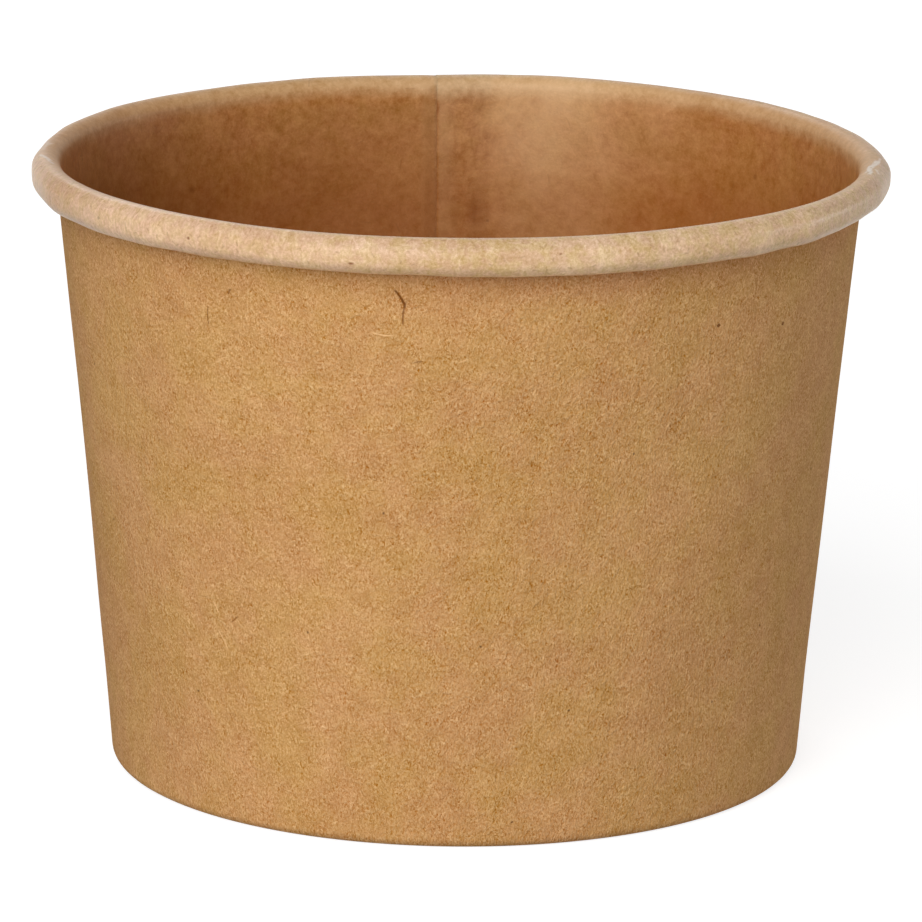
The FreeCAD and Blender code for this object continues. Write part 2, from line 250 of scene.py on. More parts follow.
def uneven(azimuth, points):
    """Moves half-plane points as a pressed board really lies: out of round, cockled, rolled unevenly."""
    r, z = points[..., 0], points[..., 1]
    bead_foot = CUP_HEIGHT - BEAD_HEIGHT
    upper = smooth(FOOT_HEIGHT, CUP_HEIGHT, z)
    middle = smooth(*COCKLE_IN, z) * (1 - smooth(*COCKLE_OUT, z))
    dr = upper * OUT_OF_ROUND * long_wave(azimuth, 0) + middle * COCKLE * cockle(azimuth, z)
    dr = dr + NECK * smooth(*NECK_IN, z) * (1 - smooth(*NECK_OUT, z))
    rim = RIM_WAVE * rim_level(azimuth, 0) + bumps(azimuth, LAP_DIPS)
    dz = smooth(RIM_WAVE_FROM, CUP_HEIGHT, z) * rim

    # the roll: swollen and tilted here and there, squashed in places, a little rounder than its former
    in_bead = smooth(bead_foot - 1.0, bead_foot + 0.2, z) * (r > RIM_RADIUS - ROLL_REACH)
    across = (r - (RIM_RADIUS - BEAD_WIDTH)) / BEAD_WIDTH
    level = z - BEAD_CENTRE[1]
    swell = ROLL_SWELL * bead_swell(azimuth, 0)
    dr = dr + in_bead * across * (BEAD_WIDTH * swell + bumps(azimuth, BULGES))
    dr = dr - in_bead * ROLL_ROUNDING * smooth(0.6, 1.0, across) * level ** 2
    flatten = swell + bumps(azimuth, FLATTER)
    dz = dz + in_bead * level * flatten * (1 - TOP_SPARED * smooth(*TOP_FROM, level))
    dz = dz + in_bead * ROLL_TILT * (r - BEAD_CENTRE[0]) * bead_tilt(azimuth, 0)

    folded = in_bead * smooth(0.35, 0.8, across)
    folded = folded * (1 - smooth(CREASE_FROM, CREASE_TO, np.abs(level - CREASE_MIDDLE)))
    dr = dr - folded * bumps(azimuth, CREASES)
    return np.stack([r + dr, z + dz], -1)


# ---------------------------------------------------------------- meshes

class Build:
    """Collects vertices, faces, material numbers and two maps, then makes an object."""

    def __init__(self):
        self.points, self.faces, self.slots, self.blank, self.bake = [], [], [], [], []

    def vertices(self, azimuth, section):
        """Adds columns of half-plane points, each at its azimuth; gives their numbers."""
        turn = np.radians(azimuth)[:, None]
        r, z = section[..., 0], section[..., 1]
        xyz = np.stack([r * np.cos(turn), r * np.sin(turn), z], -1)
        start = sum(len(p) for p in self.points)
        self.points.append(xyz.reshape(-1, 3))
        return start + np.arange(xyz.shape[0] * xyz.shape[1]).reshape(xyz.shape[:2])

    def face(self, corners, slot, blank, bake):
        self.faces.append(corners)
        self.slots.append(slot)
        self.blank.extend(blank)
        self.bake.extend(bake)

    def grid(self, index, slot, blank, bake, closed):
        """Quads over a grid of vertices, leaving out the strip that closes the ring unless asked."""
        columns = index.shape[0]
        for i in range(columns if closed else columns - 1):
            k = (i + 1) % columns
            for j in range(index.shape[1] - 1):
                at = [(i, j), (k, j), (k, j + 1), (i, j + 1)]
                self.face([index[a] for a in at], slot, [blank[a] for a in at], [bake[a] for a in at])

    def make(self, name, materials):
        mesh = bpy.data.meshes.new(name)
        points = np.concatenate(self.points) * MM
        mesh.from_pydata(points.tolist(), [], [[int(c) for c in face] for face in self.faces])
        for layer, places in (("blank", self.blank), ("OFBake", self.bake)):
            uv = mesh.uv_layers.new(name=layer)
            uv.data.foreach_set("uv", np.asarray(places, np.float32).ravel())
        mesh.polygons.foreach_set("material_index", self.slots)
        for material in materials:
            mesh.materials.append(material)
        shaped = bmesh.new()
        shaped.from_mesh(mesh)
        bmesh.ops.remove_doubles(shaped, verts=shaped.verts, dist=1e-8)
        bmesh.ops.recalc_face_normals(shaped, faces=shaped.faces)
        shaped.to_mesh(mesh)
        shaped.free()
        mesh.shade_smooth()
        mesh.set_sharp_from_angle(angle=math.radians(SHARP_ANGLE))
        piece = bpy.data.objects.new(name, mesh)
        bpy.context.scene.collection.objects.link(piece)
        return piece


def path_lengths(points):
    return np.concatenate([[0], np.cumsum(np.linalg.norm(np.diff(points, axis=0), axis=1))])


def zip_rings(build, one, other, one_at, other_at, slot, strip):
    """A raw edge between two rings of vertices whose columns stand at rising azimuths."""
    i = j = 0
    while i < len(one) - 1 or j < len(other) - 1:
        step_i = i < len(one) - 1 and (j == len(other) - 1 or one_at[i + 1] <= other_at[j + 1] + 1e-9)
        step_j = j < len(other) - 1 and (i == len(one) - 1 or other_at[j + 1] <= one_at[i + 1] + 1e-9)
        corners = [(one, one_at, i, 0)] + ([(one, one_at, i + 1, 0)] if step_i else [])
        corners += ([(other, other_at, j + 1, 1)] if step_j else []) + [(other, other_at, j, 1)]
        blank = [(BLANK_RADIUS * math.radians(at[k]), EDGE_MAP + WALL_BOARD * side)
                 for _, at, k, side in corners]
        bake = [(at[k] / 360, strip + STRIP * side) for _, at, k, side in corners]
        build.face([ring[k] for ring, _, k, _ in corners], slot, blank, bake)
        i, j = i + step_i, j + step_j
    # the narrow face that closes the ring at the lap's step
    top = EDGE_MAP + 0.4
    build.face([one[-1], other[-1], other[0]], slot, [(0.0, EDGE_MAP), (0.01, top), (0.4, top)],
               [(0.9995, strip), (0.9998, strip + STRIP), (1.0, strip + STRIP / 2)])


def lift(place):
    """How far the section is that of the lap, at a place measured in degrees past the lap's start."""
    turned = np.mod(place, 360)
    climb = 1 - smooth(LAP_ANGLE, LAP_ANGLE + RAMP_ANGLE, turned)
    return np.maximum(climb, np.where(place <= 360, smooth(357.5, 360, turned + 360 * (place == 360)), 1.0))


def wall_sheet(places, steps, offset):
    """One face of the wall, in columns of half-plane points; offset is one number a point."""
    single, normal = wall_section(WALL_BOARD, steps)
    lapped, _ = wall_section(WALL_BOARD + LAP_RISE, steps)
    path = single + (lapped - single) * lift(places)[:, None, None] + normal * offset[..., None]
    azimuth = LAP_START + places[:, None]
    return azimuth[:, 0], uneven(azimuth, path), path_lengths(single)


def make_wall(materials):
    """The wrapped blank: its two faces, the steps where each ply of the lap ends, and its raw edges."""
    build = Build()
    near_ramp = LAP_ANGLE + np.linspace(0, RAMP_ANGLE, 7)
    even = np.arange(0, 360, COLUMN_STEP)
    around = np.unique(np.round(np.concatenate([even, [LAP_ANGLE - 0.1], near_ramp]), 6))
    places_c = np.concatenate([around[around >= LAP_ANGLE], 360 + around[around <= LAP_ANGLE]])
    places_o = np.append(around, 360.0)

    # inside, the recess beside the inner ply's edge; the roll presses most of it out
    climb = 1 - smooth(LAP_ANGLE, LAP_ANGLE + RAMP_ANGLE, places_c)
    rows = np.arange(sum(SEEN_INSIDE.values()) + 1)
    crown = sum(list(SEEN_INSIDE.values())[:list(SEEN_INSIDE).index("crown")])
    below_roll = 1 - LAP_PRESSED * smooth(crown - 1, crown + 6, rows)
    coated_at, coated, length_c = wall_sheet(places_c, SEEN_INSIDE, LAP_RISE * climb[:, None] * below_roll)
    climb = 1 - smooth(LAP_ANGLE, LAP_ANGLE + RAMP_ANGLE, places_o)
    both = WALL_BOARD + LAP_RISE * np.where(places_o < 360, climb, 0.0)
    rows = np.arange(sum(SEEN_OUTSIDE.values()) + 1)
    outer_at, outer, length_o = wall_sheet(places_o, SEEN_OUTSIDE, both[:, None] + 0 * rows)

    knurl = KNURL_DEPTH * (0.5 + 0.5 * np.cos(np.radians(KNURLS * outer_at)))
    on_hem = smooth(HEM_EDGE + 0.3, HEM_EDGE - 0.8, outer[0, :, 1]) * (rows <= SEEN_OUTSIDE["hem"])
    outer[..., 0] += knurl[:, None] * on_hem

    index_c, index_o = build.vertices(coated_at, coated), build.vertices(outer_at, outer)
    across_c, tallest = 360 + LAP_ANGLE - places_c, length_c[-1]
    for index, across, lengths, shift, low, slot in (
        (index_c, across_c, length_c, 0.0, 0.0, 0),
        (index_o, places_o, length_o, OUTER_MAP, 0.5, 1),
    ):
        x, y = np.meshgrid(across, lengths, indexing="ij")
        blank = np.stack([np.radians(x) * BLANK_RADIUS, shift + y], -1)
        bake = np.stack([x / 360, low + FACE_SHARE * y / tallest], -1)
        build.grid(index, slot, blank, bake, closed=False)

    for index, lengths, low, strip in ((index_c, length_c, PLY_MAPS[0], 0.485),
                                       (index_o, length_o, PLY_MAPS[1], 0.492)):
        for j in range(len(lengths) - 1):
            corners = [index[-1, j], index[0, j], index[0, j + 1], index[-1, j + 1]]
            rows = [lengths[j], lengths[j], lengths[j + 1], lengths[j + 1]]
            build.face(corners, 2, [(y, low + LAP_RISE * k) for y, k in zip(rows, (0, 1, 1, 0))],
                       [(y / tallest, strip + STRIP * k) for y, k in zip(rows, (0, 1, 1, 0))])

    lapped = places_c >= 360
    ring_c = np.concatenate([index_c[lapped], index_c[~lapped], index_c[lapped][:1]])
    at_c = np.concatenate([places_c[lapped] - 360, places_c[~lapped], [360.0]])
    zip_rings(build, ring_c[:, 0], index_o[:, 0], at_c, places_o, 2, 0.475)
    zip_rings(build, ring_c[:, -1], index_o[:, -1], at_c, places_o, 2, 0.98)
    return build.make("wrapped_wall", materials)


DISC_CROWN, DISC_WAVE = 0.28, 0.03
CROWN_OUT, CROWN_RADIUS, WAVE_IN = (30, 35.5), 36, (0, 14)  # the radii at which these begin and end
PLEAT_HEIGHT, PLEATS_FROM, PLEATS_TO = 0.035, 31, 35.8


def make_bottom(materials):
    """The bottom board: a little crowned, pleated where it turns down into its skirt."""
    build = Build()
    steps = dict(top=40, corner=8, skirt=6)
    path, normal = disc_section(steps)
    azimuth = np.arange(0, 360, 1.0)
    lengths = path_lengths(path)
    pleat = waves(10, 60, 140)
    press = waves(5, 2, 7)
    turned_down = np.arange(len(path)) <= steps["top"] + steps["corner"]
    rings = []
    for offset in (0.0, DISC_BOARD):
        section = np.tile(path + normal * offset, (len(azimuth), 1, 1))
        r = section[..., 0]
        inner = 1 - smooth(*CROWN_OUT, r)
        section[..., 1] += DISC_CROWN * inner * (1 - (r / CROWN_RADIUS) ** 2)
        section[..., 1] += DISC_WAVE * press(azimuth[:, None], 0) * inner * smooth(*WAVE_IN, r)
        crimp = smooth(PLEATS_FROM, PLEATS_TO, path[:, 0]) * turned_down
        section[..., 1] += PLEAT_HEIGHT * pleat(azimuth[:, None], 0) * crimp
        rings.append(build.vertices(azimuth, section))
    for number, index in enumerate(rings):
        turn = np.radians(azimuth)[:, None]
        flat = np.stack([lengths * np.cos(turn), lengths * np.sin(turn)], -1)
        blank = flat + [DISC_MAPS[number], 0]
        bake = 0.49 * flat / (2.02 * lengths[-1]) + [0.25 + 0.5 * number, 0.25]
        build.grid(index, number, blank, bake, closed=True)
    for i in range(len(azimuth)):
        k = (i + 1) % len(azimuth)
        corners = [rings[0][i, -1], rings[0][k, -1], rings[1][k, -1], rings[1][i, -1]]
        top, strip = SKIRT_MAP + DISC_BOARD, 0.9
        build.face(corners, 2, [(i, SKIRT_MAP), (i + 1, SKIRT_MAP), (i + 1, top), (i, top)],
                   [(i / 360, strip), ((i + 1) / 360, strip),
                    ((i + 1) / 360, strip + STRIP), (i / 360, strip + STRIP)])
    return build.make("crimped_bottom", materials)


# ---------------------------------------------------------------- materials

class Shader:
    """A material's nodes, added with short calls; a value may be a number, a tuple or a socket."""

    def __init__(self, name):
        self.material = bpy.data.materials.new(name)
        self.material.use_nodes = True
        self.tree = self.material.node_tree
        self.tree.nodes.clear()
        self.output = self.add("ShaderNodeOutputMaterial")

    def add(self, kind, inputs=(), **settings):
        node = self.tree.nodes.new(kind)
        for key, value in settings.items():
            setattr(node, key, value)
        for key, value in dict(inputs).items():
            if isinstance(value, bpy.types.NodeSocket):
                self.tree.links.new(value, node.inputs[key])
            else:
                node.inputs[key].default_value = value
        return node

    def math(self, operation, *values):
        return self.add("ShaderNodeMath", enumerate(values), operation=operation).outputs[0]

    def vector(self, operation, *values):
        return self.add("ShaderNodeVectorMath", enumerate(values), operation=operation).outputs[0]

    def scale(self, place, factor):
        return self.add("ShaderNodeVectorMath", {0: place, "Scale": factor}, operation="SCALE").outputs[0]

    def range(self, value, low, high, to_low=0.0, to_high=1.0, soft=True):
        inputs = {"Value": value, "From Min": low, "From Max": high, "To Min": to_low, "To Max": to_high}
        kind = "SMOOTHSTEP" if soft else "LINEAR"
        return self.add("ShaderNodeMapRange", inputs, interpolation_type=kind).outputs[0]

    def noise(self, place, scale, detail=0.0, roughness=0.5, distortion=0.0):
        inputs = {"Vector": place, "Scale": scale, "Detail": detail, "Roughness": roughness,
                  "Distortion": distortion}
        return self.add("ShaderNodeTexNoise", inputs, noise_dimensions="2D").outputs[0]

    def mix(self, share, one, other):
        node = self.add("ShaderNodeMix", data_type="RGBA", blend_type="MIX")
        for key, value in ((0, share), (6, one), (7, other)):
            if isinstance(value, bpy.types.NodeSocket):
                self.tree.links.new(value, node.inputs[key])
            else:
                node.inputs[key].default_value = value if key == 0 else (*value, 1.0)
        return node.outputs[2]

    def shift(self, place, x, y):
        return self.vector("ADD", place, (x, y, 0.0))

    def times(self, *values):
        out = values[0]
        for value in values[1:]:
            out = self.math("MULTIPLY", out, value)
        return out

    def gather(self, start, *terms):
        """A number plus terms, each a weight, a socket and what is taken from it first."""
        out = start
        for weight, value, middle in terms:
            out = self.math("MULTIPLY_ADD", self.math("SUBTRACT", value, middle), weight, out)
        return out

    def rotated(self, place, angle):
        inputs = {"Vector": place, "Angle": angle}
        return self.add("ShaderNodeVectorRotate", inputs, rotation_type="Z_AXIS").outputs[0]

    def squiggles(self, place, scale, width, turn, seed):
        """Short curly fibres: the contour lines of a smooth noise, broken up by another."""
        drawn = self.vector("MULTIPLY", self.rotated(place, turn), (1.0, 1.7, 1.0))
        spot = self.shift(drawn, 31.7 * seed, 17.9 * seed)
        line = self.math("ABSOLUTE", self.math("SUBTRACT", self.noise(spot, scale), 0.5))
        line = self.range(line, 0.25 * width, width, 1.0, 0.0)
        return self.times(line, self.range(self.noise(self.shift(spot, 9, 5), 1.1 * scale), 0.42, 0.55))

    def strokes(self, place, cell, length, width, curl, seed, keep):
        """Curved fibres, one to a cell, each at its own angle: a mask, and a random number for each."""
        spot = self.scale(self.shift(place, 37.7 * seed, 23.3 * seed), 1 / cell)
        cells = self.add("ShaderNodeTexVoronoi", {"Vector": spot, "Scale": 1.0, "Randomness": 0.85},
                         voronoi_dimensions="2D", feature="F1")
        random = self.add("ShaderNodeSeparateColor", {0: cells.outputs["Color"]})
        local = self.vector("SUBTRACT", spot, cells.outputs["Position"])
        turned = self.rotated(local, self.times(random.outputs[0], 2 * math.pi))
        mask = self.hair(turned, length / cell, width / cell,
                         self.times(self.math("SUBTRACT", random.outputs[1], 0.5), 2 * curl))
        return self.times(mask, self.math("LESS_THAN", random.outputs[2], keep)), random.outputs[1]

    def hair(self, local, length, width, bow):
        """One curved line about the middle of a local frame."""
        parts = self.add("ShaderNodeSeparateXYZ", {0: local})
        x, y = parts.outputs[0], parts.outputs[1]
        y = self.math("MULTIPLY_ADD", self.times(x, x), bow, y)
        soft_mask = self.range(self.math("ABSOLUTE", y), 0.25 * width, 0.75 * width, 1.0, 0.0)
        return self.times(soft_mask, self.range(self.math("ABSOLUTE", x), 0.3 * length, 0.5 * length, 1.0, 0.0))

    def hair_at(self, place, x, y, angle, length, width, bow):
        """One curved line at a place on the blank."""
        local = self.rotated(self.shift(place, -x, -y), -math.radians(angle))
        return self.hair(local, length, width, bow)

    def patch(self, place, x, y, wide, tall):
        """A soft-edged oval at a place on the blank."""
        local = self.vector("MULTIPLY", self.shift(place, -x, -y), (1 / wide, 1 / tall, 0.0))
        away = self.add("ShaderNodeVectorMath", {0: local}, operation="LENGTH").outputs["Value"]
        return self.range(away, 0.1, 1.0, 1.0, 0.0)

    def tint(self, colour, tone, along):
        """A colour made lighter or darker, paler as it gets lighter, as fibres are."""
        return self.add("ShaderNodeVectorMath", {0: self.math("SUBTRACT", tone, 1.0), 1: along, 2: colour},
                        operation="MULTIPLY_ADD").outputs[0]

    def finish(self, **inputs):
        named = {key.replace("_", " "): value for key, value in inputs.items()}
        shader = self.add("ShaderNodeBsdfPrincipled", named)
        self.tree.links.new(shader.outputs[0], self.output.inputs["Surface"])
        return self.material


def linear(r, g, b):
    """An 8-bit display colour as the shader's linear numbers."""
    return tuple(c / 12.92 if c <= 0.04045 else ((c + 0.055) / 1.055) ** 2.4
                 for c in (r / 255, g / 255, b / 255))


def paler(base, greyer=0.0):
    """The way a kraft colour lightens by the same step in each display channel, or greyer still."""
    return base[0] * (1 - greyer), base[1] * (1.3 + 0.3 * greyer), base[2] * (1.95 + 2.2 * greyer)


def hues(base, spread):
    """A slightly yellower and a slightly pinker colour than the base, as light as it."""
    return ((base[0] * (1 - 0.2 * spread), base[1] * (1 + 0.15 * spread), base[2] * (1 - spread)),
            (base[0] * (1 + 0.2 * spread), base[1] * (1 - 0.15 * spread), base[2] * (1 + spread)))


BARE = linear(204, 154, 97)
SPECK, DARK_HAIR = (0.09, 0.035, 0.01), (0.155, 0.042, 0.0)
COATED = (0.442, 0.186, 0.0535)
# both are paler than the wall's film partly from painted sheen
RIM, ROLL = (0.62, 0.384, 0.19), (0.71, 0.482, 0.276)  # the coated board where it is bent and rolled
# the colour of the painted glints at the roll's two ends
PAINTED_GLINT = (0.9, 0.8, 0.69)
SATIN, SATIN_ROLLED = 0.46, 0.34  # the film's roughness on the wall and over the roll
KRAFT_IOR, KRAFT_SPECULAR = 1.5, 0.2
WHOLE_TURN = BLANK_RADIUS * 2 * math.pi


def times_each(colour, *factors):
    return tuple(c * k for c, k in zip(colour, factors))


def bare_kraft(name, base, marks=(), roll_edge=None):
    """Uncoated kraft board: a cloudy felt of short curly fibres, a few long fibres, hairs and specks, and
    painted shade just under the roll where its edge is given.
    """
    s = Shader(name)
    flat = s.add("ShaderNodeUVMap", uv_map="blank").outputs[0]

    cloud = s.noise(flat, 0.05, 1.0)
    blotch = s.noise(s.shift(flat, 50, 90), 0.35, 2.0, 0.6)
    hue = s.noise(s.shift(flat, 20, 70), 0.09, 3.0, 0.7)
    drawn = s.vector("MULTIPLY", flat, (1.2, 0.84, 1.0))
    clump = s.noise(drawn, 1.4, 0.0, 0.6, 0.7)
    grain = s.noise(drawn, 3.8, 1.0, 0.8, 0.5)
    felt = [s.squiggles(flat, 1.5, 0.10, 1.1, 1), s.squiggles(flat, 2.1, 0.12, 2.0, 2)]
    pores = [s.squiggles(flat, 1.6, 0.10, 1.4, 4), s.squiggles(flat, 2.3, 0.12, 1.8, 5)]

    fine = s.gather(0.0, (0.1, clump, 0.5), (0.72, grain, 0.5), *((0.19, line, 0.2) for line in felt),
                    *((-0.19, line, 0.2) for line in pores))
    patchy = s.noise(s.shift(flat, 60, 10), 0.55, 1.0)
    tone = s.gather(1.0, (0.12, cloud, 0.5), (0.27, blotch, 0.5))
    yellow, pink = hues(base, 0.07)
    colour = s.tint(s.mix(s.range(hue, 0.3, 0.7), yellow, pink), tone, paler(base))
    fine = s.math("MULTIPLY_ADD", fine, s.range(patchy, 0.32, 0.68, 0.68, 1.12, soft=False), 1.0)
    colour = s.tint(colour, fine, paler(base, 0.2))

    light = (min(base[0] * 1.42, 1), base[1] * 1.64, base[2] * 2.1)
    dark = times_each(base, 0.62, 0.48, 0.22)
    for seed, (cell, length, width, tint, share, keep) in enumerate((
        (1.3, 0.8, 0.12, light, 0.45, 0.7), (3.6, 1.7, 0.11, light, 0.55, 0.3),
        (1.5, 0.7, 0.12, dark, 0.36, 0.6), (4.6, 1.8, 0.10, dark, 0.6, 0.16),
    )):
        mask, random = s.strokes(flat, cell, length, width, 0.9, seed + 1, keep)
        mask = s.times(mask, s.range(random, 0, 1, 0.4, 1.0, soft=False))
        colour = s.mix(s.times(mask, share), colour, tint)

    speck, _ = s.strokes(flat, 13.0, 0.3, 0.2, 0.5, 21, 0.35)
    colour = s.mix(s.times(speck, 0.7), colour, SPECK)
    for x, y, angle, length, width, bow, share, tint in marks:
        mask = s.hair_at(flat, x, y, angle, length, width, bow)
        colour = s.mix(s.times(mask, share), colour, light if tint == "light" else DARK_HAIR)

    if roll_edge:
        along, up = s.add("ShaderNodeSeparateXYZ", {0: flat}).outputs[:2]
        # painted shade: the board a little darker and redder in a band just under the roll, where the roll
        # shades it
        below_roll = s.times(s.range(up, roll_edge - 4.5, roll_edge - 0.5), s.range(along, 100, 130))
        colour = s.mix(below_roll, colour, s.vector("MULTIPLY", colour, (0.95, 0.9, 0.93)))
    relief = s.gather(0.0, (0.7, grain, 0.5), (0.6, clump, 0.5))
    bump = s.add("ShaderNodeBump", {"Height": relief, "Strength": 1.0, "Distance": 0.00012})
    cockled = s.noise(s.shift(flat, 7, 3), 0.12, 1.0)
    bump = s.add("ShaderNodeBump", {"Height": cockled, "Strength": 0.13, "Distance": 0.0006,
                                    "Normal": bump.outputs[0]})
    return s.finish(Base_Color=colour, Roughness=s.range(grain, 0.2, 0.8, 0.8, 0.96, soft=False),
                    Normal=bump.outputs[0], IOR=KRAFT_IOR, Specular_IOR_Level=KRAFT_SPECULAR)


def rolled_film(s, flat, fields, colour, relief, roll_from, sheen_and_shade_patches, glints):
    """The film where the board is bent and rolled, whiter the more it is stretched and paler partly from
    painted sheen, with painted highlights, glints, light and shade on the roll.
    """
    across, up, cloud, blotch, clump, grain, felt, tone = fields
    back_right = s.times(s.range(across, 12, 24), s.range(across, 70, 90, 1.0, 0.0))
    back_left = s.times(s.range(across, 165, 185), s.range(across, 238, 248, 1.0, 0.0))
    ragged = s.gather(up, (1.3, cloud, 0.5), (0.7, blotch, 0.5), (0.2, clump, 0.5),
                      (-0.4, back_right, 0.0), (-0.4, back_left, 0.0))
    bent = s.range(ragged, roll_from - 1.6, roll_from + 0.5)
    rolled = s.range(ragged, roll_from + 0.7, roll_from + 2.9)
    calm = s.gather(0.45, (0.55, tone, 0.0), (-0.06, back_left, 0.0), (-0.03, back_right, 0.0))
    colour = s.mix(bent, colour, s.tint(RIM, calm, paler(RIM)))

    # wrinkles across the roll; along it, paler patches of painted highlight, and lighter and darker patches
    # of painted sheen and shade
    wrinkle = s.noise(s.vector("MULTIPLY", flat, (1.9, 0.75, 1.0)), 1.0, 2.0, 0.65, 0.9)
    stretch_and_sheen = s.gather(1.0, (0.25, wrinkle, 0.5), (0.25, clump, 0.5), (0.4, grain, 0.5),
                         (0.16, blotch, 0.5), *((0.1, line, 0.2) for line in felt))
    highlight_patches = s.noise(s.vector("MULTIPLY", s.shift(flat, 5, 60), (0.5, 0.35, 1.0)), 1.0, 3.0, 0.7)
    highlight_patches = s.times(s.range(highlight_patches, 0.5, 0.68), s.range(wrinkle, 0.3, 0.6))
    stretch_and_sheen = s.gather(stretch_and_sheen, (0.12, highlight_patches, 0.1))
    for x, wide, share in sheen_and_shade_patches:
        spot = s.patch(flat, x, roll_from + 5, wide, 6.0)
        stretch_and_sheen = s.gather(stretch_and_sheen, (share, s.times(spot, s.range(wrinkle, 0.2, 0.8, 0.6, 1.4)), 0.0))
    creamy, pinkish = hues(ROLL, 0.07)
    hue = s.range(s.noise(s.shift(flat, 80, 20), 0.7, 2.0, 0.6), 0.35, 0.65)
    colour = s.mix(rolled, colour, s.tint(s.mix(hue, creamy, pinkish), stretch_and_sheen, paler(ROLL)))
    relief = s.gather(relief, (1.2, s.times(rolled, s.math("SUBTRACT", wrinkle, 0.5)), 0.0))

    # painted light and shade on the roll: darker over the shoulder, lightest towards the lower edge
    shaded_shoulder = s.times(s.range(up, roll_from + 2.7, roll_from + 3.3),
                       s.range(up, roll_from + 3.9, roll_from + 4.5, 1.0, 0.0))
    light_and_shade_on_roll = s.gather(1.0, (-0.09, shaded_shoulder, 0.0),
                      (0.05, s.range(up, roll_from + 4.5, roll_from + 5.4), 0.0),
                      (0.26, s.range(up, roll_from + 6.5, roll_from + 7.7), 0.0))
    colour = s.tint(colour, light_and_shade_on_roll, times_each(ROLL, 1, 1, 0.9))
    for seed, (cell, length, width, share, keep, tones) in enumerate((
        (1.3, 0.55, 0.16, 0.34, 0.5, (0.5, 0.4, 0.32)), (1.6, 0.65, 0.16, 0.45, 0.45, (1.15, 1.25, 1.4)),
    )):
        mask, _ = s.strokes(flat, cell, length, width, 0.9, seed + 41, keep)
        colour = s.mix(s.times(mask, rolled, share), colour, times_each(ROLL, *tones))
    # painted glints at the roll's two ends
    for x, rise, angle, length, width, bow, share in glints:
        mask = s.hair_at(flat, x, roll_from + rise, angle, length, width, bow)
        colour = s.mix(s.times(mask, s.range(grain, 0.3, 0.6, 0.3, share)), colour, PAINTED_GLINT)
    return colour, relief, rolled


def film_at_lap(s, flat, fields, colour, base, roll_from, sheen_patches):
    """The lap's soft step, the line where the inner ply ends, painted shade on the wall beside and below
    them, and painted sheen past the lap.
    """
    across, up, _, blotch, clump, *_ = fields
    lap = BLANK_RADIUS * math.radians(LAP_ANGLE)
    lapped = s.range(s.gather(across, (0.5, clump, 0.5)), lap - 0.3, lap + 0.5)
    colour = s.tint(colour, s.range(lapped, 0, 1, 0.95, 1.05, soft=False), base)

    # paler on both sides of the ply's edge, and a dark line at the edge itself, partly a stain and partly
    # painted shade of the step
    beside = s.times(s.range(across, 0.1, 0.4), s.range(across, 0.8, 2.8, 1.0, 0.0))
    before = s.range(across, WHOLE_TURN - 2.0, WHOLE_TURN - 1.2)
    colour = s.mix(s.gather(0.0, (0.26, beside, 0.0), (0.15, before, 0.0)), colour, RIM)
    stain_and_shade_line = s.times(s.range(across, 0.0, 0.2),
                    s.range(across, WHOLE_TURN - 0.35, WHOLE_TURN - 0.1, 1.0, 0.0))
    colour = s.tint(colour, s.range(stain_and_shade_line, 0, 1, 0.8, 1.0, soft=False), base)

    # painted shade: the wall darker and redder lower down and away from the lap, and just before the lap
    # duller, and darker and redder lower down
    low = s.range(up, roll_from - 14, roll_from - 1, 1.0, 0.0)
    left = s.times(s.range(across, WHOLE_TURN - 45, WHOLE_TURN - 14, 1.0, 0.1), s.range(across, 120, 160))
    right = s.times(s.range(across, 15, 32), s.range(across, 50, 90, 1.0, 0.0))
    shade_in_cup = s.gather(0.0, (0.45, low, 0.0), (0.3, left, 0.0), (0.2, right, 0.0))
    colour = s.mix(shade_in_cup, colour, times_each(base, 0.79, 0.59, 0.37))
    shade_before_lap = s.times(s.range(across, WHOLE_TURN - 26, WHOLE_TURN - 9),
                       s.range(up, roll_from - 2.0, roll_from - 0.6, 1.0, 0.0))
    colour = s.mix(s.times(shade_before_lap, 0.2), colour, times_each(base, 0.7, 0.9, 1.05))
    colour = s.mix(s.times(shade_before_lap, low), colour, s.vector("MULTIPLY", colour, (0.93, 0.84, 0.84)))

    # painted sheen: paler patches on the wall past the lap
    for (x, y), wide, tall, share in sheen_patches:
        soft_mask = s.times(s.patch(flat, x, y, wide, tall), s.range(across, lap - 0.5, lap + 0.5, 0.75, 1.0))
        colour = s.mix(s.times(soft_mask, s.range(blotch, 0.3, 0.7, 0.8 * share, 1.2 * share)), colour, RIM)
        colour = s.tint(colour, s.range(soft_mask, 0, 1, 1.0, 1 + 0.2 * share, soft=False), RIM)
    return colour


